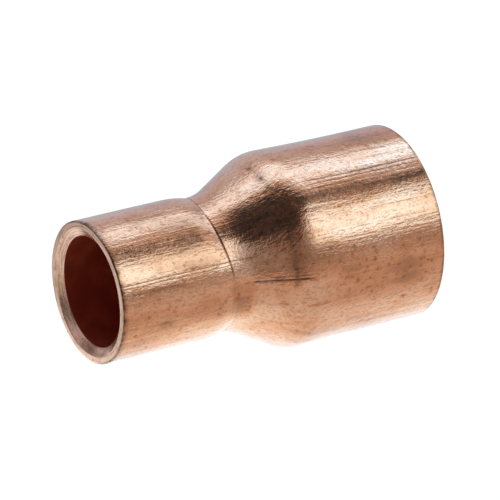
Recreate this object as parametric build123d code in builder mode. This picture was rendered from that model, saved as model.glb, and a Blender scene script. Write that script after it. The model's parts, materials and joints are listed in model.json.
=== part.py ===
"""Concentric reducer: a wrought copper reducing coupling with a solder socket at each end.

The whole fitting is one piece of copper tube, necked down over a mandrel, so it is one solid.
The row's frame: +X runs along the fitting's axis from the small socket to the large one, +Z is up,
and the origin is on the axis, halfway along the length. All lengths are in millimetres.
"""

import os
from math import cos, radians, sin, tan

from build123d import *

# ---- driving dimensions -------------------------------------------------------------------------

# The tubes that the sockets take, and the gap round them that solder fills, measured on the diameter.
small_tube_diameter = 6.35
large_tube_diameter = 9.525
solder_gap = 0.115

# Wall of each socket. The small end is thicker, because necking a tube down thickens its wall.
small_wall = 0.92
large_wall = 0.77

# Straight stretch of each socket's bore, from the end face to where the wall starts to turn.
small_socket_depth = 5.8
large_socket_depth = 8.35

# The neck is pinched in behind the small socket, which stops the small tube. It ends in a crease.
neck_run = 1.7
neck_pinch = 0.2

# The cone between the neck and the large socket, and the bends at its foot and at its shoulder.
cone_half_angle = 27.7
foot_radius = 3.05
shoulder_radius = 2.65
bore_bend_radius = 1.6

# Forming leaves the shoulder a little proud of the large socket. The swell falls away along the
# socket, and the last stretch before the mouth is straight.
shoulder_swell = 0.155
mouth_straight = 0.8

# Both mouths are cut square, deburred outside and countersunk inside.
lip_radius = 0.1
countersink_width = 0.5
countersink_depth = 0.34

# ---- radii and stations worked out from them ------------------------------------------------------

small_bore_radius = (small_tube_diameter + solder_gap) / 2
large_bore_radius = (large_tube_diameter + solder_gap) / 2
small_outer_radius = small_bore_radius + small_wall
large_outer_radius = large_bore_radius + large_wall

crease_radius = small_outer_radius - neck_pinch
neck_bore_radius = small_bore_radius - neck_pinch
shoulder_outer_radius = large_outer_radius + shoulder_swell

cone_rise = tan(radians(cone_half_angle))
bend_share = tan(radians(cone_half_angle / 2))

# Stations along the axis, counted from the small end's face.
crease_x = small_socket_depth + neck_run
# The foot's arc leaves the crease along the axis and turns up into the cone.
foot_end_x = crease_x + foot_radius * sin(radians(cone_half_angle))
foot_end_radius = crease_radius + foot_radius * (1 - cos(radians(cone_half_angle)))
shoulder_x = foot_end_x + (shoulder_outer_radius - foot_end_radius) / cone_rise
# The bore's corner at the neck lies one wall inside the outer surface's corner.
neck_bore_x = crease_x + (foot_radius + small_wall) * bend_share
large_stop_x = neck_bore_x + (large_bore_radius - neck_bore_radius) / cone_rise
overall_length = large_stop_x + large_socket_depth

mid_x = overall_length / 2
swell_end_x = overall_length - mouth_straight


def at(x: float, radius: float) -> tuple[float, float]:
    """A point of the half section: x from the small end's face, and radius from the axis."""
    return (x - mid_x, radius)


# ---- the reducer ----------------------------------------------------------------------------------

with BuildPart() as reducer_body:
    with BuildSketch(Plane.XZ) as half_section:
        with BuildLine():
            # outside, from the small mouth to the large one
            Line(at(0, small_outer_radius), at(small_socket_depth, small_outer_radius))
            TangentArc(
                at(small_socket_depth, small_outer_radius),
                at(crease_x, crease_radius),
                tangent=(1, 0),
            )
            TangentArc(
                at(crease_x, crease_radius),
                at(foot_end_x, foot_end_radius),
                tangent=(1, 0),
            )
            Line(at(foot_end_x, foot_end_radius), at(shoulder_x, shoulder_outer_radius))
            TangentArc(
                at(swell_end_x, large_outer_radius),
                at(shoulder_x, shoulder_outer_radius),
                tangent=(-1, 0),
            )
            Line(at(swell_end_x, large_outer_radius), at(overall_length, large_outer_radius))
            # the large mouth, the large socket and its stop, and the bore through the neck
            Polyline(
                at(overall_length, large_outer_radius),
                at(overall_length, large_bore_radius + countersink_width),
                at(overall_length - countersink_depth, large_bore_radius),
                at(large_stop_x, large_bore_radius),
                at(neck_bore_x, neck_bore_radius),
                at(crease_x, neck_bore_radius),
            )
            TangentArc(
                at(small_socket_depth, small_bore_radius),
                at(crease_x, neck_bore_radius),
                tangent=(1, 0),
            )
            # the small socket and its mouth
            Polyline(
                at(small_socket_depth, small_bore_radius),
                at(countersink_depth, small_bore_radius),
                at(0, small_bore_radius + countersink_width),
                at(0, small_outer_radius),
            )
        make_face()

        def corner(x: float, radius: float) -> Vertex:
            """The section's corner nearest to a point given as in at()."""
            return half_section.vertices().sort_by_distance((*at(x, radius), 0))[0]

        fillet(corner(shoulder_x, shoulder_outer_radius), shoulder_radius)
        fillet(corner(large_stop_x, large_bore_radius), bore_bend_radius)
        fillet(corner(neck_bore_x, neck_bore_radius), bore_bend_radius)
        fillet(corner(0, small_outer_radius), lip_radius)
        fillet(corner(overall_length, large_outer_radius), lip_radius)
    revolve(axis=Axis.X)

reducer_body.part.label = "reducer_body"
os.makedirs("parts", exist_ok=True)
export_step(reducer_body.part, "parts/reducer_body.step")
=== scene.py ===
"""Concentric reducer: the looks of a wrought copper reducing coupling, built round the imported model.

The fitting is one piece of copper tube, so it is one closed mesh, worked out as a grid: rows follow the
section from the small mouth along the outside to the large mouth and back through the bore, and columns
run round the axis. The forming marks are in the mesh: the crease behind the small socket, the draw lines,
the scuffs and the pits. The grain of the metal, finer than the mesh, is in its finishes.

The frame is the record's: metres, +X along the axis from the small socket to the large one, +Z up.
"""

from __future__ import annotations

import json
import logging
from dataclasses import dataclass
from enum import Enum

import bpy
import numpy as np
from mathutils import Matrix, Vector


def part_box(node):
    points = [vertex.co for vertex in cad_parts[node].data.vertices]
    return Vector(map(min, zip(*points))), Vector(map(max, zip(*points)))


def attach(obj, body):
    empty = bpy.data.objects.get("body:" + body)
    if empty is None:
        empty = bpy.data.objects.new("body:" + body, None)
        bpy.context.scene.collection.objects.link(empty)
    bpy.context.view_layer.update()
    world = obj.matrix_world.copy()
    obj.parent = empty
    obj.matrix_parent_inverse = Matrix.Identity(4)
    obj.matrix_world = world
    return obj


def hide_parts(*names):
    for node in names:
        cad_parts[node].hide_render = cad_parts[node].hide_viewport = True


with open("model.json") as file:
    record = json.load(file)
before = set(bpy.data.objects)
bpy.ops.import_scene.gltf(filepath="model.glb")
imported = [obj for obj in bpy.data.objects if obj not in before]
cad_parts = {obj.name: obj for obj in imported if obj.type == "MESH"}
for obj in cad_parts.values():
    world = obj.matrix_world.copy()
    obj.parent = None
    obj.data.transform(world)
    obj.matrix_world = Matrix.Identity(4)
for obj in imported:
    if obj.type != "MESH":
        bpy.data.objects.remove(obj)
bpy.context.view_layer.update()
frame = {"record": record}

LOG = logging.getLogger("reducer")
MM = 1e-3
NODE = "reducer_body"
BODY = "root"

Colour = tuple[float, float, float]
Socket = bpy.types.NodeSocket


# ---- small tools ----------------------------------------------------------------------------------


def smooth_step(value: np.ndarray, low: float, high: float) -> np.ndarray:
    """Zero below low, one above high, and 3t^2 - 2t^3 between them.

    Args:
        value: where to work it out.
        low: the end where it is zero.
        high: the end where it is one.

    Returns:
        An array like value.
    """
    share = np.clip((value - low) / (high - low), 0.0, 1.0)
    return share * share * (3.0 - 2.0 * share)


def window(value: np.ndarray, low: float, high: float, soft: float) -> np.ndarray:
    """One between low and high, falling smoothly to zero over soft outside them."""
    return smooth_step(value, low - soft, low) * (1 - smooth_step(value, high, high + soft))


def bell(distance: np.ndarray, width: float) -> np.ndarray:
    """A bell curve, exp(-(distance / width)^2)."""
    return np.exp(-((distance / width) ** 2))


def turn_between(angle: np.ndarray, other: float) -> np.ndarray:
    """The signed turn from other to angle, brought between -pi and pi."""
    return (angle - other + np.pi) % (2 * np.pi) - np.pi


def stretch(start: float, end: float, step: float) -> np.ndarray:
    """Evenly spaced stations from start up to, but without, end.

    Args:
        start: the first station.
        end: where the next stretch starts.
        step: the widest spacing allowed.

    Returns:
        The stations. They run downwards where end is below start.
    """
    count = max(2, int(np.ceil(abs(end - start) / step)))
    return np.linspace(start, end, count, endpoint=False)


class NodeGraph:
    """A thin layer over a node tree, which makes nodes and returns their output sockets."""

    def __init__(self, tree: bpy.types.NodeTree) -> None:
        """Starts from an empty tree."""
        self.tree = tree
        tree.nodes.clear()

    @classmethod
    def for_material(cls, name: str) -> tuple[bpy.types.Material, NodeGraph]:
        """Makes an empty material.

        Args:
            name: the material's name.

        Returns:
            The material, and the graph over its nodes.
        """
        material = bpy.data.materials.new(name)
        material.use_nodes = True
        return material, cls(material.node_tree)

    def add(self, kind: str, inputs: dict | None = None, **settings: object) -> bpy.types.Node:
        """Adds a node.

        Args:
            kind: the node's Blender type.
            inputs: by socket name or index, a socket to link from or a value to set.
            settings: properties of the node itself.

        Returns:
            The node.
        """
        node = self.tree.nodes.new(kind)
        for name, value in settings.items():
            setattr(node, name, value)
        for name, value in (inputs or {}).items():
            if isinstance(value, Socket):
                self.tree.links.new(value, node.inputs[name])
            else:
                node.inputs[name].default_value = value
        return node

    def math(self, operation: str, *values: object) -> Socket:
        """One Math node over sockets or numbers."""
        return self.add("ShaderNodeMath", dict(enumerate(values)), operation=operation).outputs[0]

    def noise(self, vector: Socket, scale: float, detail: float = 2.0) -> Socket:
        """Noise from 0 to 1, at scale cells a metre."""
        inputs = {"Vector": vector, "Scale": scale, "Detail": detail}
        return self.add("ShaderNodeTexNoise", inputs).outputs[0]

    def scaled(self, vector: Socket, factors: tuple[float, float, float]) -> Socket:
        """A vector with each axis multiplied by its own factor."""
        return self.add("ShaderNodeVectorMath", {0: vector, 1: factors}, operation="MULTIPLY").outputs[0]

    def place(self) -> Socket:
        """Object coordinates, in metres."""
        return self.add("ShaderNodeTexCoord").outputs["Object"]

    def share(self, name: str) -> Socket:
        """One of the mesh's own shares, from 0 to 1."""
        return self.add("ShaderNodeAttribute", attribute_name=name).outputs["Fac"]

    def stirred(self, base: Socket, noise: Socket, weight: float) -> Socket:
        """The sum base + weight (noise - 1/2), which leaves the mean of base as it is."""
        return self.math("MULTIPLY_ADD", self.math("SUBTRACT", noise, 0.5), weight, base)

    def bump(self, height: Socket, relief: float) -> Socket:
        """A normal from a height, where a height of one stands relief metres proud."""
        return self.add("ShaderNodeBump", {"Height": height, "Distance": relief, "Strength": 1.0}).outputs[0]

    def remap(
        self, value: Socket, low: float, high: float, bottom: float = 0.0, top: float = 1.0
    ) -> Socket:
        """A smooth step of value from low to high, brought to bottom and top."""
        inputs = {"Value": value, "From Min": low, "From Max": high, "To Min": bottom, "To Max": top}
        return self.add("ShaderNodeMapRange", inputs, interpolation_type="SMOOTHSTEP").outputs[0]

    def blend(self, share: object, first: object, second: object) -> Socket:
        """A colour between two others.

        Args:
            share: 0 for the first colour, 1 for the second.
            first: a colour or its socket.
            second: a colour or its socket.

        Returns:
            The mixed colour's socket.
        """
        node = self.add("ShaderNodeMix", data_type="RGBA")
        for index, value in ((0, share), (6, first), (7, second)):
            if isinstance(value, Socket):
                self.tree.links.new(value, node.inputs[index])
            else:
                node.inputs[index].default_value = value if index == 0 else (*value, 1.0)
        return node.outputs[2]


# ---- the section ----------------------------------------------------------------------------------


class Zone(Enum):
    """The part of the surface that a row of the grid belongs to. The value is its material's index."""

    OUTSIDE = 0
    RIM = 1
    BORE = 2


@dataclass
class ReducerSection:
    """The half section of the fitting: radii over stations along the axis, in metres.

    The bores come from the record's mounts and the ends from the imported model's box. The walls, bends and
    angles are the forming tools' own.
    """

    low_x: float
    high_x: float
    small_bore: float
    large_bore: float
    small_wall: float = 0.92 * MM
    large_wall: float = 0.77 * MM
    small_socket: float = 5.8 * MM
    neck_run: float = 1.7 * MM
    neck_pinch: float = 0.2 * MM
    foot_bend: float = 3.05 * MM
    cone_angle: float = np.radians(27.7)
    shoulder_bend: float = 2.65 * MM
    shoulder_swell: float = 0.155 * MM
    mouth_straight: float = 0.8 * MM
    bore_bend: float = 1.6 * MM
    lip: float = 0.1 * MM
    sink_width: float = 0.5 * MM
    sink_depth: float = 0.34 * MM
    edge: float = 0.02 * MM
    # widest spacing of the rows: by the crease, along each stretch outside, and along the bore
    crease_step: float = 0.024 * MM
    beside_step: float = 0.07 * MM
    small_step: float = 0.125 * MM
    cone_step: float = 0.105 * MM
    large_step: float = 0.13 * MM
    rim_step: float = 0.06 * MM
    large_bore_step: float = 0.45 * MM
    cone_bore_step: float = 0.18 * MM
    small_bore_step: float = 0.35 * MM

    def __post_init__(self) -> None:
        """Works out the radii and stations that the stretches share."""
        rise, sine, cosine = np.tan(self.cone_angle), np.sin(self.cone_angle), np.cos(self.cone_angle)
        self.small_outside = self.small_bore + self.small_wall
        self.large_outside = self.large_bore + self.large_wall
        self.neck_x = self.low_x + self.small_socket
        self.crease_x = self.neck_x + self.neck_run
        self.crease_radius = self.small_outside - self.neck_pinch
        self.foot_x = self.crease_x + self.foot_bend * sine
        self.foot_radius = self.crease_radius + self.foot_bend * (1 - cosine)
        self.corner_radius = self.large_outside + self.shoulder_swell
        self.corner_x = self.foot_x + (self.corner_radius - self.foot_radius) / rise
        self.swell_end = self.high_x - self.mouth_straight
        self.throat = self.small_bore - self.neck_pinch
        self.throat_x = self.crease_x + (self.foot_bend + self.small_wall) * np.tan(self.cone_angle / 2)
        self.stop_x = self.throat_x + (self.large_bore - self.throat) / rise
        # The shoulder's bend touches the cone and the swell, which leaves the corner at a slight fall.
        fall = 2 * self.shoulder_swell / (self.swell_end - self.corner_x)
        reach = self.shoulder_bend * np.tan((self.cone_angle + fall) / 2)
        self.bend_start = self.corner_x - reach * cosine
        self.bend_x = self.bend_start + self.shoulder_bend * sine
        self.bend_radius = self.corner_radius - reach * sine - self.shoulder_bend * cosine
        self.bend_end = self.bend_x + self.shoulder_bend * np.sin(fall)

    @staticmethod
    def bulge(run: np.ndarray, depth: float, length: float) -> np.ndarray:
        """How far a shallow arc leaves its tangent: R - sqrt(R^2 - run^2), which is depth at length."""
        radius = (length * length + depth * depth) / (2 * depth)
        return radius - np.sqrt(radius * radius - run * run)

    def pinched(self, x: np.ndarray) -> np.ndarray:
        """How far the wall is pinched in along the neck."""
        return self.bulge(np.clip(x - self.neck_x, 0, self.neck_run), self.neck_pinch, self.neck_run)

    def outer(self, x: np.ndarray) -> np.ndarray:
        """Radius of the outside: barrel, pinch, foot, cone, shoulder and swell in turn.

        Args:
            x: stations along the axis.

        Returns:
            The radius at each.
        """
        foot_run = np.clip(x - self.crease_x, 0, self.foot_x - self.crease_x)
        bend_run = np.clip(x, self.bend_start, self.bend_end) - self.bend_x
        swell_run = np.clip(self.swell_end - x, 0, self.swell_end - self.corner_x)
        swell = self.bulge(swell_run, self.shoulder_swell, self.swell_end - self.corner_x)
        stretches = {
            self.crease_x: self.small_outside - self.pinched(x),
            self.foot_x: self.crease_radius + self.foot_bend - np.sqrt(self.foot_bend**2 - foot_run**2),
            self.bend_start: self.foot_radius + (x - self.foot_x) * np.tan(self.cone_angle),
            self.bend_end: self.bend_radius + np.sqrt(self.shoulder_bend**2 - bend_run**2),
        }
        barrel = self.large_outside + swell
        return np.select([x < end for end in stretches], list(stretches.values()), barrel)

    def inner(self, x: np.ndarray) -> np.ndarray:
        """Radius of the bore: small socket and pinch, throat, cone between its two bends, large socket.

        Args:
            x: stations along the axis.

        Returns:
            The radius at each.
        """
        reach = self.bore_bend * np.tan(self.cone_angle / 2)
        chord = self.bore_bend * np.sin(self.cone_angle)
        start, end = self.throat_x - reach, self.stop_x + reach
        run_in = np.clip(x - start, 0, chord)
        run_out = np.clip(end - x, 0, chord)
        stretches = {
            self.crease_x: self.small_bore - self.pinched(x),
            start + chord: self.throat + self.bore_bend - np.sqrt(self.bore_bend**2 - run_in**2),
            end - chord: self.throat + (x - self.throat_x) * np.tan(self.cone_angle),
            end: self.large_bore - self.bore_bend + np.sqrt(self.bore_bend**2 - run_out**2),
        }
        return np.select([x < stop for stop in stretches], list(stretches.values()), self.large_bore)

    def mouth(self, face_x: float, outside: float, bore: float, side: int) -> np.ndarray:
        """The rim of one mouth: a quarter-round lip, the cut land, and the countersink down to the bore.

        Args:
            face_x: where the cut face stands.
            outside: the barrel's radius.
            bore: the bore's radius.
            side: 1 for the large mouth, whose face looks along +X, and -1 for the small one.

        Returns:
            Rows of (x, radius), from the outside to the bore.
        """
        quarter = np.radians(stretch(0, 90, 12))
        land = stretch(outside - self.lip, bore + self.sink_width + self.edge, self.rim_step)
        share = self.edge / self.sink_width
        sink = np.concatenate([[0.0, share], np.linspace(0.15, 0.85, 8), [1 - share]])
        inset = np.concatenate([
            self.lip * (1 - np.sin(quarter)), np.zeros_like(land), self.sink_depth * sink])
        radius = np.concatenate([
            outside - self.lip * (1 - np.cos(quarter)), land, bore + self.sink_width * (1 - sink)])
        return np.stack([face_x - side * inset, radius], axis=1)

    def rows(self) -> tuple[np.ndarray, np.ndarray]:
        """The closed section, from the small mouth's lip along the outside and back through the bore.

        Returns:
            Rows of (x, radius), and each row's zone.
        """
        near, beside = 0.3 * MM, 1.1 * MM
        outside = np.concatenate([
            stretch(self.low_x + self.lip, self.crease_x - beside, self.small_step),
            stretch(self.crease_x - beside, self.crease_x - near, self.beside_step),
            stretch(self.crease_x - near, self.crease_x + near, self.crease_step),
            stretch(self.crease_x + near, self.crease_x + beside, self.beside_step),
            stretch(self.crease_x + beside, self.bend_end, self.cone_step),
            stretch(self.bend_end, self.high_x - self.lip, self.large_step),
        ])
        first, last = self.low_x + self.sink_depth, self.high_x - self.sink_depth
        bore = np.concatenate([
            stretch(last, last - self.edge, self.edge),
            stretch(last - self.edge, self.stop_x + MM, self.large_bore_step),
            stretch(self.stop_x + MM, self.throat_x - MM, self.cone_bore_step),
            stretch(self.throat_x - MM, first + self.edge, self.small_bore_step),
            stretch(first + self.edge, first, self.edge),
            [first],
        ])
        # The small rim runs backwards and leaves out its lip's last row, which is the outside's first.
        small_rim = self.mouth(self.low_x, self.small_outside, self.small_bore, -1)[:0:-1]
        parts = {
            "outside": (Zone.OUTSIDE, np.stack([outside, self.outer(outside)], axis=1)),
            "large rim": (Zone.RIM, self.mouth(self.high_x, self.large_outside, self.large_bore, 1)),
            "bore": (Zone.BORE, np.stack([bore, self.inner(bore)], axis=1)),
            "small rim": (Zone.RIM, small_rim),
        }
        zones = np.concatenate([np.full(len(points), zone.value) for zone, points in parts.values()])
        points = np.concatenate([points for _, points in parts.values()])
        at_large = (points[:, 0] > 0) & (points[:, 1] > self.large_outside - self.lip)
        at_small = (points[:, 0] < self.crease_x) & (points[:, 1] > self.small_outside - self.lip)
        return points, np.where(at_large | at_small, Zone.OUTSIDE.value, zones)


# ---- the marks ------------------------------------------------------------------------------------


@dataclass(frozen=True)
class DrawLine:
    """A shallow line that the die drew along the fitting, at one angle round the axis, in degrees and mm."""

    angle: float
    start: float
    end: float
    depth: float = 0.008
    width: float = 0.06
    soil_and_painted_shade: float = 0.5


@dataclass(frozen=True)
class Blemish:
    """A pit or a patch of soil, at a station along the axis and an angle round it, in mm and degrees."""

    station: float
    angle: float
    along: float
    across: float
    soil_and_painted_shade: float
    depth: float = 0.0


@dataclass(frozen=True)
class Patch:
    """A soft-edged patch of the outside, between two angles and two stations, in degrees and mm."""

    share: float
    angles: tuple[float, float]
    angle_soft: float
    stations: tuple[float, float] = (-1.0, 22.0)
    station_soft: float = 1.0

    def cover(self, degrees: np.ndarray, station: np.ndarray) -> np.ndarray:
        """The patch's share at each point: a window round the axis times one along it."""
        along = window(station, *self.stations, self.station_soft)
        return self.share * window(degrees, *self.angles, self.angle_soft) * along


@dataclass(frozen=True)
class Ring:
    """A ring of the outside: a bell along the axis, all round or between two angles, in mm and degrees."""

    share: float
    station: float
    width: float
    angles: tuple[float, float] | None = None
    angle_soft: float = 8.0

    def cover(self, degrees: np.ndarray, station: np.ndarray) -> np.ndarray:
        """The ring's share at each point: the bell, times a window round the axis if it has angles."""
        along = self.share * bell(station - self.station, self.width)
        return along * window(degrees, *self.angles, self.angle_soft) if self.angles else along


@dataclass
class FormingMarks:
    """What making and handling left on the outside: heights, soil and tarnish over the grid, with painted
    shade in the crease and painted dark reflections on the cone and at both lips.

    The heights are in metres, out of the surface. Stations of single marks are counted from the small face.
    """

    section: ReducerSection
    crease_depth: float = 0.036 * MM
    crease_width: float = 0.04 * MM
    crease_mean: float = -0.23 * MM
    crease_wander: float = 0.29 * MM
    crease_turn: float = np.radians(115.0)
    crease_reach: float = 1.5 * MM
    # the crease's darkening is painted shade in its groove
    crease_painted_shade: float = 0.72
    worn_angles: tuple[float, float] = (176.0, 216.0)
    worn_soft: float = 16.0
    worn_share: float = 0.9
    wave_height: float = 0.004 * MM
    line_count: int = 70
    blemish_count: int = 110
    pitch: float = 0.15
    clearance: float = 0.25
    line_soft: float = 0.4
    seed: int = 23
    speck_rows: tuple[float, ...] = (14.4, 15.6, 17.7)
    share_in_rows: float = 0.45
    tarnish_base: float = 0.26
    tarnish_wave: float = 0.05
    soil_and_painted_reflection_marks: tuple[Patch | Ring, ...] = (
        # painted reflection: a near-black patch on the cone where it faces the camera and mirrors the dark
        # round it
        Patch(0.58, (118.0, 141.0), 5.0, (8.6, 11.2), 0.5),
        Ring(0.50, 10.7, 0.16, (96.0, 176.0), 12.0),
        # the next two rings are painted reflections: dark bands mirrored on the rounding of the small and
        # the large lip
        Ring(0.66, 0.08, 0.15),
        Ring(0.55, 20.18, 0.1),
    )
    tarnish_and_painted_reflection_marks: tuple[Patch | Ring, ...] = (
        Patch(0.10, (160.0, 330.0), 25.0),
        Patch(0.30, (99.0, 127.0), 4.0, (0.0, 7.0), 0.5),
        # painted reflection: more browning over the cone's dark patch
        Patch(0.30, (114.0, 139.0), 7.0, (8.9, 11.3), 0.8),
        Ring(0.30, 10.75, 0.28, (84.0, 178.0)),
        Patch(0.45, (176.0, 204.0), 10.0, (7.4, 8.3), 0.5),
        Ring(0.07, 14.4, 0.16),
        Ring(0.07, 15.6, 0.16),
        Ring(0.07, 17.7, 0.2),
        # the next two rings are painted reflections too: browning under the dark bands at the two lips
        Ring(0.45, 0.16, 0.16),
        Ring(0.60, 20.2, 0.13),
    )
    lines: tuple[DrawLine, ...] = (
        DrawLine(98.6, 0.3, 4.2, 0.004, soil_and_painted_shade=0.25),
        DrawLine(120.6, 0.5, 3.2, 0.004, soil_and_painted_shade=0.2),
        DrawLine(128.6, 0.3, 7.0, 0.012, 0.07, 0.7),
        DrawLine(130.8, 0.4, 6.6, 0.006, 0.04, 0.5),
        DrawLine(155.6, 0.3, 8.6, 0.008, 0.04, 0.35),
        DrawLine(158.2, 0.3, 7.7, 0.006, 0.04, 0.3),
        DrawLine(163.4, 0.3, 3.6, 0.005, 0.09, 0.3),
        DrawLine(165.2, 1.6, 3.9, 0.004, 0.07, 0.25),
        DrawLine(101.8, 12.6, 20.1, 0.004, 0.04, 0.2),
        DrawLine(117.9, 13.0, 20.1, 0.012, 0.06, 0.6),
        DrawLine(120.7, 12.8, 20.1, 0.007, 0.045, 0.6),
        DrawLine(123.6, 13.0, 20.1, 0.007, 0.045, 0.6),
        DrawLine(126.4, 12.4, 20.1, 0.008, 0.08, 0.4),
        # painted reflection: this line is made wide and dark to paint the broad dark band mirrored along the
        # large barrel
        DrawLine(128.7, 11.6, 20.1, 0.010, 0.28, 0.56),
        DrawLine(175.2, 8.7, 11.4, 0.018, 0.045, 0.9),
        DrawLine(172.8, 9.6, 11.6, 0.008, 0.05, 0.4),
        DrawLine(178.4, 13.2, 20.1, 0.004, 0.05, 0.25),
    )
    blemishes: tuple[Blemish, ...] = (
        Blemish(10.65, 88.0, 0.18, 0.22, 0.85, 0.012),
        Blemish(10.5, 91.5, 0.12, 0.14, 0.7, 0.008),
        Blemish(10.9, 124.0, 0.10, 0.35, 0.0, -0.014),
        Blemish(10.6, 133.0, 0.09, 0.30, 0.0, -0.014),
        Blemish(10.95, 141.0, 0.10, 0.28, 0.0, -0.012),
        Blemish(17.55, 84.6, 0.11, 0.09, 0.7, 0.010),
        Blemish(17.7, 99.0, 0.10, 0.30, 0.3),
        Blemish(17.75, 111.0, 0.16, 0.30, 0.25),
        Blemish(17.7, 203.0, 0.17, 0.15, 0.8, 0.012),
        Blemish(18.5, 199.0, 0.12, 0.10, 0.55, 0.008),
        Blemish(17.5, 188.0, 0.14, 0.12, 0.5, 0.006),
        Blemish(15.6, 172.0, 0.16, 0.16, 0.6, 0.006),
        Blemish(15.6, 165.5, 0.12, 0.12, 0.6, 0.006),
        Blemish(14.35, 163.0, 0.10, 0.35, 0.4),
        Blemish(0.95, 152.4, 0.10, 0.04, 0.7, 0.008),
        Blemish(5.0, 184.5, 0.14, 0.05, 0.6, 0.008),
        Blemish(2.75, 192.0, 0.45, 0.45, 0.35),
        Blemish(3.15, 195.0, 0.25, 0.25, 0.35),
        Blemish(6.62, 184.0, 0.05, 0.75, 0.3, 0.012),
        Blemish(6.82, 179.0, 0.05, 0.60, 0.2, -0.010),
        Blemish(6.45, 192.0, 0.06, 0.50, 0.3, 0.010),
        Blemish(7.05, 188.0, 0.06, 0.80, 0.25, -0.010),
        Blemish(7.35, 181.0, 0.07, 0.60, 0.4, 0.010),
    )

    def crease_shift(self, x: np.ndarray, angle: np.ndarray) -> np.ndarray:
        """How far the grid moves along the axis, so that its rows follow the wandering crease.

        The crease stands at mean - wander cos 2(angle - turn), and the shift dies away from it as a bell.
        """
        wander = self.crease_mean - self.crease_wander * np.cos(2 * (angle - self.crease_turn))
        return wander * bell(x - self.section.crease_x, self.crease_reach)

    def crease(self, x: np.ndarray, angle: np.ndarray) -> np.ndarray:
        """The crease as a share of its depth: a narrow groove, sharp over the top and scuffed away below."""
        worn = window(np.degrees(angle), *self.worn_angles, self.worn_soft)
        return bell(x - self.section.crease_x, self.crease_width) * (1.0 - self.worn_share * worn)

    def waves(self, x: np.ndarray, angle: np.ndarray, rng: np.random.Generator) -> np.ndarray:
        """Unevenness of the wall: the sum of cos(n angle + pitch x + phase) / sqrt(n) over orders n.

        Args:
            x: stations of the rows.
            angle: angles of the columns.
            rng: the source of each wave's pitch and phase.

        Returns:
            Heights in metres.
        """
        total = np.zeros(np.broadcast(x, angle).shape)
        for order in range(2, 14):
            pitch = rng.uniform(0.15, 0.9) / MM * rng.choice([-1, 1])
            phase = rng.uniform(0, 2 * np.pi)
            total += np.cos(order * angle + pitch * x + phase) / np.sqrt(order)
        return self.wave_height * total

    def random_lines(self, rng: np.random.Generator) -> list[DrawLine]:
        """Faint lines of random length all round, some sunk and some raised.

        Args:
            rng: the source of their places and sizes.

        Returns:
            The lines.
        """
        return [
            DrawLine(rng.uniform(0, 360), start, start + rng.uniform(2.0, 7.0), rng.uniform(-0.003, 0.004),
                     rng.uniform(0.06, 0.12), rng.uniform(0.0, 0.25))
            for start in rng.uniform(-1.0, 19.0, self.line_count)
        ]

    def random_blemishes(self, rng: np.random.Generator) -> list[Blemish]:
        """Small specks all round, nearly half of them in rows round the large barrel.

        Args:
            rng: the source of their places and sizes.

        Returns:
            The specks.
        """
        near = rng.choice(self.speck_rows, self.blemish_count) + rng.normal(0, 0.08, self.blemish_count)
        loose = rng.uniform(0.4, 19.8, self.blemish_count)
        stations = np.where(rng.random(self.blemish_count) < self.share_in_rows, near, loose)
        return [
            Blemish(station, rng.uniform(0, 360), rng.uniform(0.05, 0.12), rng.uniform(0.05, 0.3),
                    rng.uniform(0.15, 0.5), 0.005)
            for station in stations
        ]

    def columns(self, even: int) -> np.ndarray:
        """Angles of the grid's columns: evenly spread, with more on each named line and across it.

        They are rounded to a fine pitch, so that no two columns come closer than that.

        Args:
            even: how many columns are evenly spread.

        Returns:
            The angles in rising order, in radians.
        """
        widths = MM * np.array([line.width for line in self.lines])
        step = np.degrees(0.5 * widths / self.section.large_outside)
        middle = np.array([line.angle for line in self.lines])
        extra = (middle[:, None] + step[:, None] * np.arange(-2, 3)[None, :]).ravel()
        spread = np.linspace(0, 360, even, endpoint=False)
        clear = np.abs(spread[:, None] - extra[None, :]).min(axis=1) > self.clearance
        steps = np.unique(np.round(np.concatenate([spread[clear], extra]) / self.pitch))
        return np.radians(steps * self.pitch)

    def surface_marks(
        self, x: np.ndarray, angle: np.ndarray, radius: np.ndarray, rng: np.random.Generator
    ) -> tuple[np.ndarray, np.ndarray]:
        """Lines, blemishes and the crease, as bells of the distance from each.

        Args:
            x: stations of the rows.
            angle: angles of the columns.
            radius: radii of the rows.
            rng: the source of the random marks.

        Returns:
            Heights in metres, and soil with painted shade and painted reflections, from 0 to 1.
        """
        station = (x - self.section.low_x) / MM
        height = np.zeros(np.broadcast(x, angle).shape)
        soil_and_painted_shade = np.zeros_like(height)
        for line in (*self.lines, *self.random_lines(rng)):
            across = turn_between(angle, np.radians(line.angle)) * radius / MM
            share = bell(across, line.width) * window(station, line.start, line.end, self.line_soft)
            height -= line.depth * MM * share
            soil_and_painted_shade = np.maximum(soil_and_painted_shade, line.soil_and_painted_shade * share)
        for mark in (*self.blemishes, *self.random_blemishes(rng)):
            across = turn_between(angle, np.radians(mark.angle)) * radius / MM
            share = bell(np.hypot(across / mark.across, (station - mark.station) / mark.along), 1.0)
            height -= mark.depth * MM * share
            soil_and_painted_shade = np.maximum(soil_and_painted_shade, mark.soil_and_painted_shade * share)
        # these patches and rings include painted reflections at the cone and both lips
        for mark in self.soil_and_painted_reflection_marks:
            soil_and_painted_shade = np.maximum(soil_and_painted_shade, mark.cover(np.degrees(angle), station))
        crease = self.crease(x, angle)
        # the crease's share also darkens it: painted shade in the groove
        return height - self.crease_depth * crease, np.maximum(soil_and_painted_shade, self.crease_painted_shade * crease)

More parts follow.
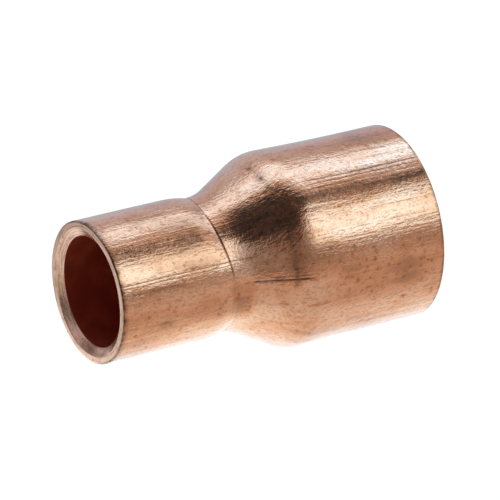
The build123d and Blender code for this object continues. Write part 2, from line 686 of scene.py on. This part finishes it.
    def tarnish_and_painted_shade(self, x: np.ndarray, angle: np.ndarray, rng: np.random.Generator) -> np.ndarray:
        """How far the copper has browned: a slow random wave, and the sum of the patches and the rings, some
        of them painted dark reflections on the cone and at the lips.

        Args:
            x: stations of the rows.
            angle: angles of the columns.
            rng: the source of the wave's pitch and phase.

        Returns:
            Shares from 0 to 1.
        """
        station = (x - self.section.low_x) / MM
        total = np.full(np.broadcast(x, angle).shape, self.tarnish_base)
        for order in range(1, 7):
            phase = rng.uniform(0, 2 * np.pi)
            total += self.tarnish_wave * np.cos(order * angle + rng.uniform(0.1, 0.7) * station + phase)
        for mark in self.tarnish_and_painted_reflection_marks:
            total += mark.cover(np.degrees(angle), station)
        return np.clip(total, 0, 1)


# ---- the finishes ---------------------------------------------------------------------------------


@dataclass(frozen=True)
class CopperFinish:
    """Drawn copper: bright, with an orange-peel grain, fine streaks along the axis, and brown tarnish, whose
    shares also carry painted shade and painted dark reflections.

    Scales are in cells a metre, across the axis. Each noise is drawn out along the axis by its own share.
    """

    bright: Colour = (0.93, 0.50, 0.29)
    warm: Colour = (0.84, 0.36, 0.17)
    brown: Colour = (0.50, 0.21, 0.10)
    rust: Colour = (0.46, 0.13, 0.04)
    dark: Colour = (0.10, 0.055, 0.035)
    smooth: float = 0.12
    rough: float = 0.22
    peel_scale: float = 5000.0
    grit_scale: float = 9500.0
    streak_scale: float = 7500.0
    broad_scale: float = 2200.0
    cloud_scale: float = 480.0
    speck_scale: float = 2100.0
    peel_along: float = 0.75
    grit_along: float = 0.8
    streak_along: float = 0.08
    broad_along: float = 0.09
    cloud_along: float = 0.6
    tarnish_and_painted_shade_weight: float = 0.55
    broad_weight: float = 0.5
    speck_share: float = 0.75
    soil_and_painted_shade_roughness: float = 0.15
    relief: float = 0.024 * MM
    coat: float = 0.25
    coat_roughness: float = 0.12
    coat_ior: float = 1.45

    def build(self) -> bpy.types.Material:
        """Makes the material.

        Returns:
            The material.
        """
        material, graph = NodeGraph.for_material("drawn_copper")
        place = graph.place()
        soil_and_painted_shade, tarnish_and_painted_shade = graph.share("soil_and_painted_shade"), graph.share("tarnish_and_painted_shade")
        peel = graph.noise(graph.scaled(place, (self.peel_along, 1.0, 1.0)), self.peel_scale, 3.0)
        streak = graph.noise(graph.scaled(place, (self.streak_along, 1.0, 1.0)), self.streak_scale, 2.0)
        broad = graph.noise(graph.scaled(place, (self.broad_along, 1.0, 1.0)), self.broad_scale, 3.0)
        grit = graph.noise(graph.scaled(place, (self.grit_along, 1.0, 1.0)), self.grit_scale, 1.0)
        cloud = graph.noise(graph.scaled(place, (self.cloud_along, 1.0, 1.0)), self.cloud_scale, 5.0)
        # the tarnish share carries painted reflections at the cone and both lips as well as real browning
        browned_and_painted_shade = graph.math("MULTIPLY_ADD", tarnish_and_painted_shade, self.tarnish_and_painted_shade_weight, cloud)
        browned_and_painted_shade = graph.stirred(browned_and_painted_shade, broad, self.broad_weight)
        colour = graph.blend(graph.remap(browned_and_painted_shade, 0.46, 0.82), self.bright, self.warm)
        colour = graph.blend(graph.remap(browned_and_painted_shade, 0.72, 1.05, 0.0, 0.9), colour, self.brown)
        grain = graph.stirred(peel, streak, 0.35)
        colour = graph.blend(graph.remap(grain, 0.5, 0.70, 0.0, 0.5), colour, self.brown)
        colour = graph.blend(graph.remap(grit, 0.52, 0.74, 0.0, 0.5), colour, self.brown)
        # rust specks: the hearts of cells whose edges the peel makes uneven, where the copper is brown
        spots = graph.add("ShaderNodeTexVoronoi", {"Vector": place, "Scale": self.speck_scale})
        cells = graph.stirred(spots.outputs["Distance"], peel, 1.3)
        speck = graph.math("MULTIPLY", graph.remap(cells, 0.32, 0.10), graph.remap(browned_and_painted_shade, 0.5, 0.85))
        colour = graph.blend(graph.math("MULTIPLY", speck, self.speck_share), colour, self.rust)
        # soil and painted shade, with ragged edges: brown where it is thin and dark where it is thick; the
        # dark also paints shade in the crease and dark reflections on the cone and lips
        ragged = graph.stirred(graph.stirred(soil_and_painted_shade, grain, 0.9), broad, 1.2)
        thin = graph.math("MULTIPLY", graph.remap(ragged, 0.0, 0.55, 0.0, 0.75), graph.remap(soil_and_painted_shade, 0.0, 0.2))
        thick = graph.math("MULTIPLY", graph.remap(ragged, 0.3, 0.95), graph.remap(soil_and_painted_shade, 0.1, 0.4))
        colour = graph.blend(thick, graph.blend(thin, colour, self.brown), self.dark)
        polish = graph.remap(browned_and_painted_shade, 0.45, 1.0, self.smooth, self.rough)
        roughness = graph.math("MULTIPLY_ADD", thick, self.soil_and_painted_shade_roughness, polish)
        height = graph.math("MULTIPLY_ADD", streak, 0.65, graph.math("MULTIPLY", peel, 0.75))
        height = graph.math("MULTIPLY_ADD", broad, 0.9, height)
        height = graph.math("MULTIPLY_ADD", grit, 0.5, height)
        normal = graph.bump(height, self.relief)
        shader = graph.add("ShaderNodeBsdfPrincipled", {
            "Base Color": colour, "Metallic": 1.0, "Roughness": roughness, "Normal": normal,
            "Coat Weight": self.coat, "Coat Roughness": self.coat_roughness, "Coat IOR": self.coat_ior})
        graph.add("ShaderNodeOutputMaterial", {"Surface": shader.outputs[0]})
        return material


@dataclass(frozen=True)
class CutFinish:
    """The sawn and countersunk rim: paler copper with fine rings round the axis."""

    pale: Colour = (0.96, 0.50, 0.33)
    brown: Colour = (0.48, 0.25, 0.13)
    dark: Colour = (0.16, 0.10, 0.06)
    ring_scale: float = 9000.0
    ring_drift: float = 0.08
    relief: float = 0.010 * MM
    roughness: float = 0.25

    def build(self) -> bpy.types.Material:
        """Makes the material, with rings that follow the distance from the axis.

        Returns:
            The material.
        """
        material, graph = NodeGraph.for_material("cut_copper")
        place = graph.place()
        across = graph.scaled(place, (0.0, 1.0, 1.0))
        radius = graph.add("ShaderNodeVectorMath", {0: across}, operation="LENGTH").outputs["Value"]
        along = graph.add("ShaderNodeSeparateXYZ", {0: place}).outputs[0]
        ringed = graph.add("ShaderNodeCombineXYZ", {0: along, 1: radius}).outputs[0]
        drift = graph.scaled(place, (self.ring_drift,) * 3)
        wound = graph.add("ShaderNodeVectorMath", {0: ringed, 1: drift}, operation="ADD").outputs[0]
        rings = graph.noise(wound, self.ring_scale, 3.0)
        grain = graph.noise(place, self.ring_scale / 2, 3.0)
        blotch = graph.noise(place, self.ring_scale / 9, 3.0)
        colour = graph.blend(graph.remap(rings, 0.42, 0.68, 0.0, 0.8), self.pale, self.brown)
        colour = graph.blend(graph.remap(blotch, 0.5, 0.75, 0.0, 0.6), colour, self.brown)
        colour = graph.blend(graph.remap(grain, 0.58, 0.75, 0.0, 0.6), colour, self.dark)
        height = graph.math("ADD", rings, graph.math("MULTIPLY", grain, 0.7))
        normal = graph.bump(height, self.relief)
        shader = graph.add("ShaderNodeBsdfPrincipled", {
            "Base Color": colour, "Metallic": 1.0, "Roughness": self.roughness, "Normal": normal})
        graph.add("ShaderNodeOutputMaterial", {"Surface": shader.outputs[0]})
        return material


@dataclass(frozen=True)
class BoreFinish:
    """The bore: copper dulled to a deep red-brown by annealing, with faint blotches."""

    deep: Colour = (0.36, 0.040, 0.010)
    lighter: Colour = (0.46, 0.065, 0.018)
    blotch_scale: float = 900.0
    relief: float = 0.004 * MM
    metallic: float = 0.45

    def build(self) -> bpy.types.Material:
        """Makes the material.

        Returns:
            The material.
        """
        material, graph = NodeGraph.for_material("annealed_bore")
        place = graph.place()
        blotch = graph.noise(place, self.blotch_scale, 4.0)
        grain = graph.noise(place, self.blotch_scale * 5, 2.0)
        colour = graph.blend(graph.remap(blotch, 0.4, 0.7), self.deep, self.lighter)
        normal = graph.bump(grain, self.relief)
        roughness = graph.remap(blotch, 0.3, 0.7, 0.5, 0.62)
        shader = graph.add("ShaderNodeBsdfPrincipled", {
            "Base Color": colour, "Metallic": self.metallic, "Roughness": roughness, "Normal": normal})
        graph.add("ShaderNodeOutputMaterial", {"Surface": shader.outputs[0]})
        return material


# ---- the fitting ----------------------------------------------------------------------------------


@dataclass
class Reducer:
    """The whole fitting: one closed mesh of rows along the section and columns round the axis."""

    section: ReducerSection
    marks: FormingMarks
    even_columns: int = 240
    calm: float = 0.5 * MM
    calm_soft: float = 0.4 * MM

    def surface(self) -> tuple[np.ndarray, dict[str, np.ndarray], np.ndarray]:
        """The grid's points, the shares its finish reads, and the rows' zones.

        A row's point is its station and its radius turned by the column's angle. Rows of the outside slide
        along the axis with the crease, and the marks lift or sink them along the section's normal, which is
        the row's tangent turned a quarter. Both mouths are left calm.

        Returns:
            Points by row and column, soil and tarnish with their painted shade and reflections for each
            point, and each row's zone.
        """
        rows, zones = self.section.rows()
        angle = self.marks.columns(self.even_columns)[None, :]
        x, radius = rows[:, :1], rows[:, 1:]
        tangent = np.roll(rows, -1, axis=0) - np.roll(rows, 1, axis=0)
        normal = np.stack([-tangent[:, 1], tangent[:, 0]], axis=1)
        normal /= np.linalg.norm(normal, axis=1, keepdims=True)
        outside = (zones == Zone.OUTSIDE.value)[:, None]
        rng = np.random.default_rng(self.marks.seed)
        height, soil_and_painted_shade = self.marks.surface_marks(x, angle, radius, rng)
        height = (height + self.marks.waves(x, angle, rng)) * outside
        first, last = self.section.low_x + self.calm, self.section.high_x - self.calm
        height *= window(x, first, last, self.calm_soft)
        stations = x + self.marks.crease_shift(x, angle) * outside + height * normal[:, :1]
        radii = radius + height * normal[:, 1:]
        points = np.stack([stations, radii * np.cos(angle), radii * np.sin(angle)], axis=2)
        return points, {"soil_and_painted_shade": soil_and_painted_shade * outside, "tarnish_and_painted_shade": self.marks.tarnish_and_painted_shade(x, angle, rng)}, zones

    def unwrap(self, mesh: bpy.types.Mesh, points: np.ndarray) -> None:
        """Lays the grid out flat as the mesh's map: u is the share of the turn, v the share of the section.

        The last column and the last row run on to 1 instead of wrapping back to 0.

        Args:
            mesh: the mesh, with its faces in the grid's order.
            points: the grid's points by row and column.
        """
        closed = np.concatenate([points, points[:1]])[:, 0]
        run = np.concatenate([[0.0], np.cumsum(np.linalg.norm(np.diff(closed, axis=0), axis=1))])
        v = run / run[-1]
        u = np.append(self.marks.columns(self.even_columns), 2 * np.pi) / (2 * np.pi)
        count, width = points.shape[:2]
        row, column = np.meshgrid(np.arange(count), np.arange(width), indexing="ij")
        corners = [(row, column), (row, column + 1), (row + 1, column + 1), (row + 1, column)]
        flat = np.stack([np.stack([u[c], v[r]], axis=2) for r, c in corners], axis=2)
        mesh.uv_layers.new(name="OFBake").data.foreach_set("uv", flat.astype(np.float32).ravel())

    def build(self) -> bpy.types.Object:
        """Makes the mesh, its attributes and its materials.

        Returns:
            The fitting's object, at the origin.
        """
        points, shares, zones = self.surface()
        count, width = points.shape[:2]
        row, column = np.meshgrid(np.arange(count), np.arange(width), indexing="ij")
        next_row, next_column = (row + 1) % count, (column + 1) % width
        corners = [(row, column), (row, next_column), (next_row, next_column), (next_row, column)]
        faces = np.stack([r * width + c for r, c in corners], axis=2).reshape(-1, 4)
        mesh = bpy.data.meshes.new("reducer")
        mesh.vertices.add(count * width)
        mesh.vertices.foreach_set("co", points.astype(np.float32).ravel())
        mesh.loops.add(faces.size)
        mesh.loops.foreach_set("vertex_index", faces.astype(np.int32).ravel())
        mesh.polygons.add(len(faces))
        mesh.polygons.foreach_set("loop_start", np.arange(0, faces.size, 4, dtype=np.int32))
        mesh.polygons.foreach_set("material_index", np.repeat(zones, width).astype(np.int32))
        mesh.polygons.foreach_set("use_smooth", np.ones(len(faces), dtype=bool))
        mesh.update(calc_edges=True)
        for name, share in shares.items():
            values = mesh.attributes.new(name, "FLOAT", "POINT").data
            values.foreach_set("value", share.astype(np.float32).ravel())
        self.unwrap(mesh, points)
        for finish in (CopperFinish(), CutFinish(), BoreFinish()):
            mesh.materials.append(finish.build())
        piece = bpy.data.objects.new("reducer", mesh)
        bpy.context.scene.collection.objects.link(piece)
        LOG.info("reducer: %d rows by %d columns, %d triangles", count, width, 2 * len(faces))
        return piece


# ---- the studio -----------------------------------------------------------------------------------


@dataclass(frozen=True)
class Card:
    """A soft panel or a black flag in the dome of light round the fitting.

    It covers a range of roll, the angle round the fitting's axis from +Y over the top, in degrees, and a
    range of lean, the direction's share along +X. Its edges fade over their softness, and its two edges of
    roll slant by so many degrees for each unit of lean.
    """

    roll: tuple[float, float]
    light: Colour
    lean: tuple[float, float] = (-2.0, 2.0)
    roll_soft: tuple[float, float] = (2.0, 2.0)
    lean_soft: tuple[float, float] = (0.08, 0.08)
    slant: tuple[float, float] = (0.0, 0.0)


@dataclass
class Studio:
    """The pale floor, the dome of light, the camera and the tone of the picture."""

    floor_z: float
    fill: Colour = (0.50, 0.60, 0.76)
    backdrop: Colour = (1.0, 1.0, 1.0)
    cards: tuple[Card, ...] = (
        Card((-40.0, 44.0), (0.56, 0.63, 0.80), roll_soft=(10.0, 6.0)),
        Card((-30.0, 28.0), (0.10, 0.085, 0.08), lean=(-2.0, -0.42), roll_soft=(4.0, 8.0),
             lean_soft=(0.1, 0.06)),
        Card((166.0, 200.0), (0.40, 0.40, 0.44), roll_soft=(8.0, 6.0)),
        Card((140.0, 200.0), (0.30, 0.31, 0.34), lean=(-2.0, -0.15), roll_soft=(10.0, 6.0),
             lean_soft=(0.1, 0.2)),
        Card((44.0, 73.5), (1.22, 2.00, 3.10), lean=(-0.30, 2.0), roll_soft=(2.5, 2.0), slant=(14.0, 14.0),
             lean_soft=(0.32, 0.1)),
        Card((75.0, 118.0), (0.62, 0.66, 0.76), roll_soft=(2.0, 6.0), slant=(12.0, 0.0)),
        Card((123.0, 159.0), (1.30, 1.96, 2.60), lean=(0.18, 2.0), roll_soft=(13.0, 12.0),
             lean_soft=(0.22, 0.1)),
        Card((88.0, 131.0), (0.09, 0.09, 0.11), roll_soft=(2.5, 5.0), slant=(30.0, -40.0)),
    )
    floor_far: Colour = (0.52, 0.60, 0.72)
    floor_under: Colour = (1.25, 1.55, 1.75)
    floor_near: Colour = (0.60, 0.60, 0.64)
    floor_front: float = 0.72
    floor_side: float = 0.55
    under_reach: tuple[float, float] = (-10.0 * MM, 1.0 * MM)
    far_reach: tuple[float, float] = (10.0 * MM, 32.0 * MM)
    front_reach: tuple[float, float] = (-120.0 * MM, -15.0 * MM)
    side_reach: tuple[float, float] = (-15.0 * MM, -9.0 * MM)
    floor_shown: float = 0.97
    floor_dust: Colour = (0.12, 0.12, 0.12)
    floor_size: float = 3.0
    azimuth: float = -30.388
    elevation: float = 23.797
    distance: float = 0.62568
    aim_right: float = 0.456 * MM
    aim_up: float = 0.353 * MM
    lens: float = 792.08
    sensor: float = 36.0
    clip: tuple[float, float] = (0.01, 10.0)

    def light_dome(self) -> None:
        """Builds the world: each card covers what is behind it where both its ranges hold.

        Roll is arctan2(z, y) and lean is x of the direction looked at. What the camera itself sees past
        the floor is plain and pale.
        """
        world = bpy.data.worlds.new("studio")
        bpy.context.scene.world = world
        world.use_nodes = True
        graph = NodeGraph(world.node_tree)
        place = graph.add("ShaderNodeTexCoord").outputs["Generated"]
        axes = graph.add("ShaderNodeSeparateXYZ", {0: place}).outputs
        lean = axes[0]
        roll = graph.math("DEGREES", graph.math("ARCTAN2", axes[2], axes[1]))
        colour: object = self.fill
        for card in self.cards:
            low = graph.math("MULTIPLY_ADD", lean, -card.slant[0], roll)
            high = graph.math("MULTIPLY_ADD", lean, -card.slant[1], roll)
            round_axis = graph.math(
                "MULTIPLY",
                graph.remap(low, card.roll[0] - card.roll_soft[0], card.roll[0] + card.roll_soft[0]),
                graph.remap(high, card.roll[1] + card.roll_soft[1], card.roll[1] - card.roll_soft[1]))
            along_axis = graph.math(
                "MULTIPLY",
                graph.remap(lean, card.lean[0] - card.lean_soft[0], card.lean[0] + card.lean_soft[0]),
                graph.remap(lean, card.lean[1] + card.lean_soft[1], card.lean[1] - card.lean_soft[1]))
            colour = graph.blend(graph.math("MULTIPLY", round_axis, along_axis), colour, card.light)
        seen = graph.add("ShaderNodeLightPath").outputs["Is Camera Ray"]
        shown = graph.blend(seen, colour, self.backdrop)
        shader = graph.add("ShaderNodeBackground", {"Color": shown, "Strength": 1.0})
        graph.add("ShaderNodeOutputWorld", {"Surface": shader.outputs[0]})

    def lay_floor(self) -> bpy.types.Object:
        """A large plain sheet under the fitting that glows, brightest under the fitting and behind it.

        The camera sees it plain and pale, and the fitting reflects its glow, which fades with distance.

        Returns:
            The floor's object.
        """
        half = self.floor_size / 2
        mesh = bpy.data.meshes.new("floor")
        corners = [(-half, -half), (half, -half), (half, half), (-half, half)]
        mesh.from_pydata([(x, y, self.floor_z) for x, y in corners], [], [(0, 1, 2, 3)])
        floor = bpy.data.objects.new("floor", mesh)
        bpy.context.scene.collection.objects.link(floor)
        material, graph = NodeGraph.for_material("pale_floor")
        axes = graph.add("ShaderNodeSeparateXYZ", {0: graph.place()}).outputs
        glow = graph.blend(graph.remap(axes[1], *self.under_reach), self.floor_near, self.floor_under)
        glow = graph.blend(graph.remap(axes[1], *self.far_reach), glow, self.floor_far)
        front = graph.remap(axes[1], *self.front_reach, self.floor_front, 1.0)
        side = graph.remap(axes[0], *self.side_reach, self.floor_side, 1.0)
        strength = graph.math("MULTIPLY", front, side)
        lit = graph.add("ShaderNodeEmission", {"Color": glow, "Strength": strength})
        pale = {"Color": (*self.backdrop, 1.0), "Strength": self.floor_shown}
        plain = graph.add("ShaderNodeEmission", pale)
        dusted = graph.add("ShaderNodeBsdfDiffuse", {"Color": (*self.floor_dust, 1.0)})
        shown = graph.add("ShaderNodeAddShader", {0: plain.outputs[0], 1: dusted.outputs[0]})
        seen = graph.add("ShaderNodeLightPath").outputs["Is Camera Ray"]
        mixed = graph.add("ShaderNodeMixShader", {0: seen, 1: lit.outputs[0], 2: shown.outputs[0]})
        graph.add("ShaderNodeOutputMaterial", {"Surface": mixed.outputs[0]})
        mesh.materials.append(material)
        return floor

    def place_camera(self) -> bpy.types.Object:
        """Stands the camera off along its azimuth and elevation, aimed a little beside the origin.

        Returns:
            The camera's object.
        """
        turn, lift = np.radians(self.azimuth), np.radians(self.elevation)
        back = Vector((np.sin(turn) * np.cos(lift), -np.cos(turn) * np.cos(lift), np.sin(lift)))
        right = Vector((np.cos(turn), np.sin(turn), 0.0))
        aim = right * self.aim_right + back.cross(right) * self.aim_up
        data = bpy.data.cameras.new("camera")
        data.lens, data.sensor_width = self.lens, self.sensor
        data.clip_start, data.clip_end = self.clip
        camera = bpy.data.objects.new("camera", data)
        bpy.context.scene.collection.objects.link(camera)
        camera.location = aim + back * self.distance
        camera.rotation_euler = (-back).to_track_quat("-Z", "Y").to_euler()
        bpy.context.scene.camera = camera
        return camera

    def set_tone(self) -> None:
        """Shows light as it is, with no film curve."""
        bpy.context.scene.view_settings.view_transform = "Standard"

    def build(self) -> None:
        """Makes the whole studio."""
        self.light_dome()
        self.lay_floor()
        self.place_camera()
        self.set_tone()
        LOG.info("studio: %d cards in the dome", len(self.cards))


# ---- the picture ----------------------------------------------------------------------------------


def mount_radius(name: str) -> float:
    """The bore of one of the record's mounts, in metres."""
    mount = next(entry for entry in frame["record"]["mounts"] if entry["name"] == name)
    return mount["dims"]["r_mm"] * MM


def main() -> None:
    """Builds the fitting and the studio round it."""
    logging.basicConfig(level=logging.INFO, format="%(name)s: %(message)s")
    low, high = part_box(NODE)
    section = ReducerSection(low.x, high.x, mount_radius("small_socket"), mount_radius("large_socket"))
    piece = Reducer(section, FormingMarks(section)).build()
    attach(piece, BODY)
    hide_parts(NODE)
    Studio(floor_z=low.z).build()


if __name__ == "__main__":
    main()
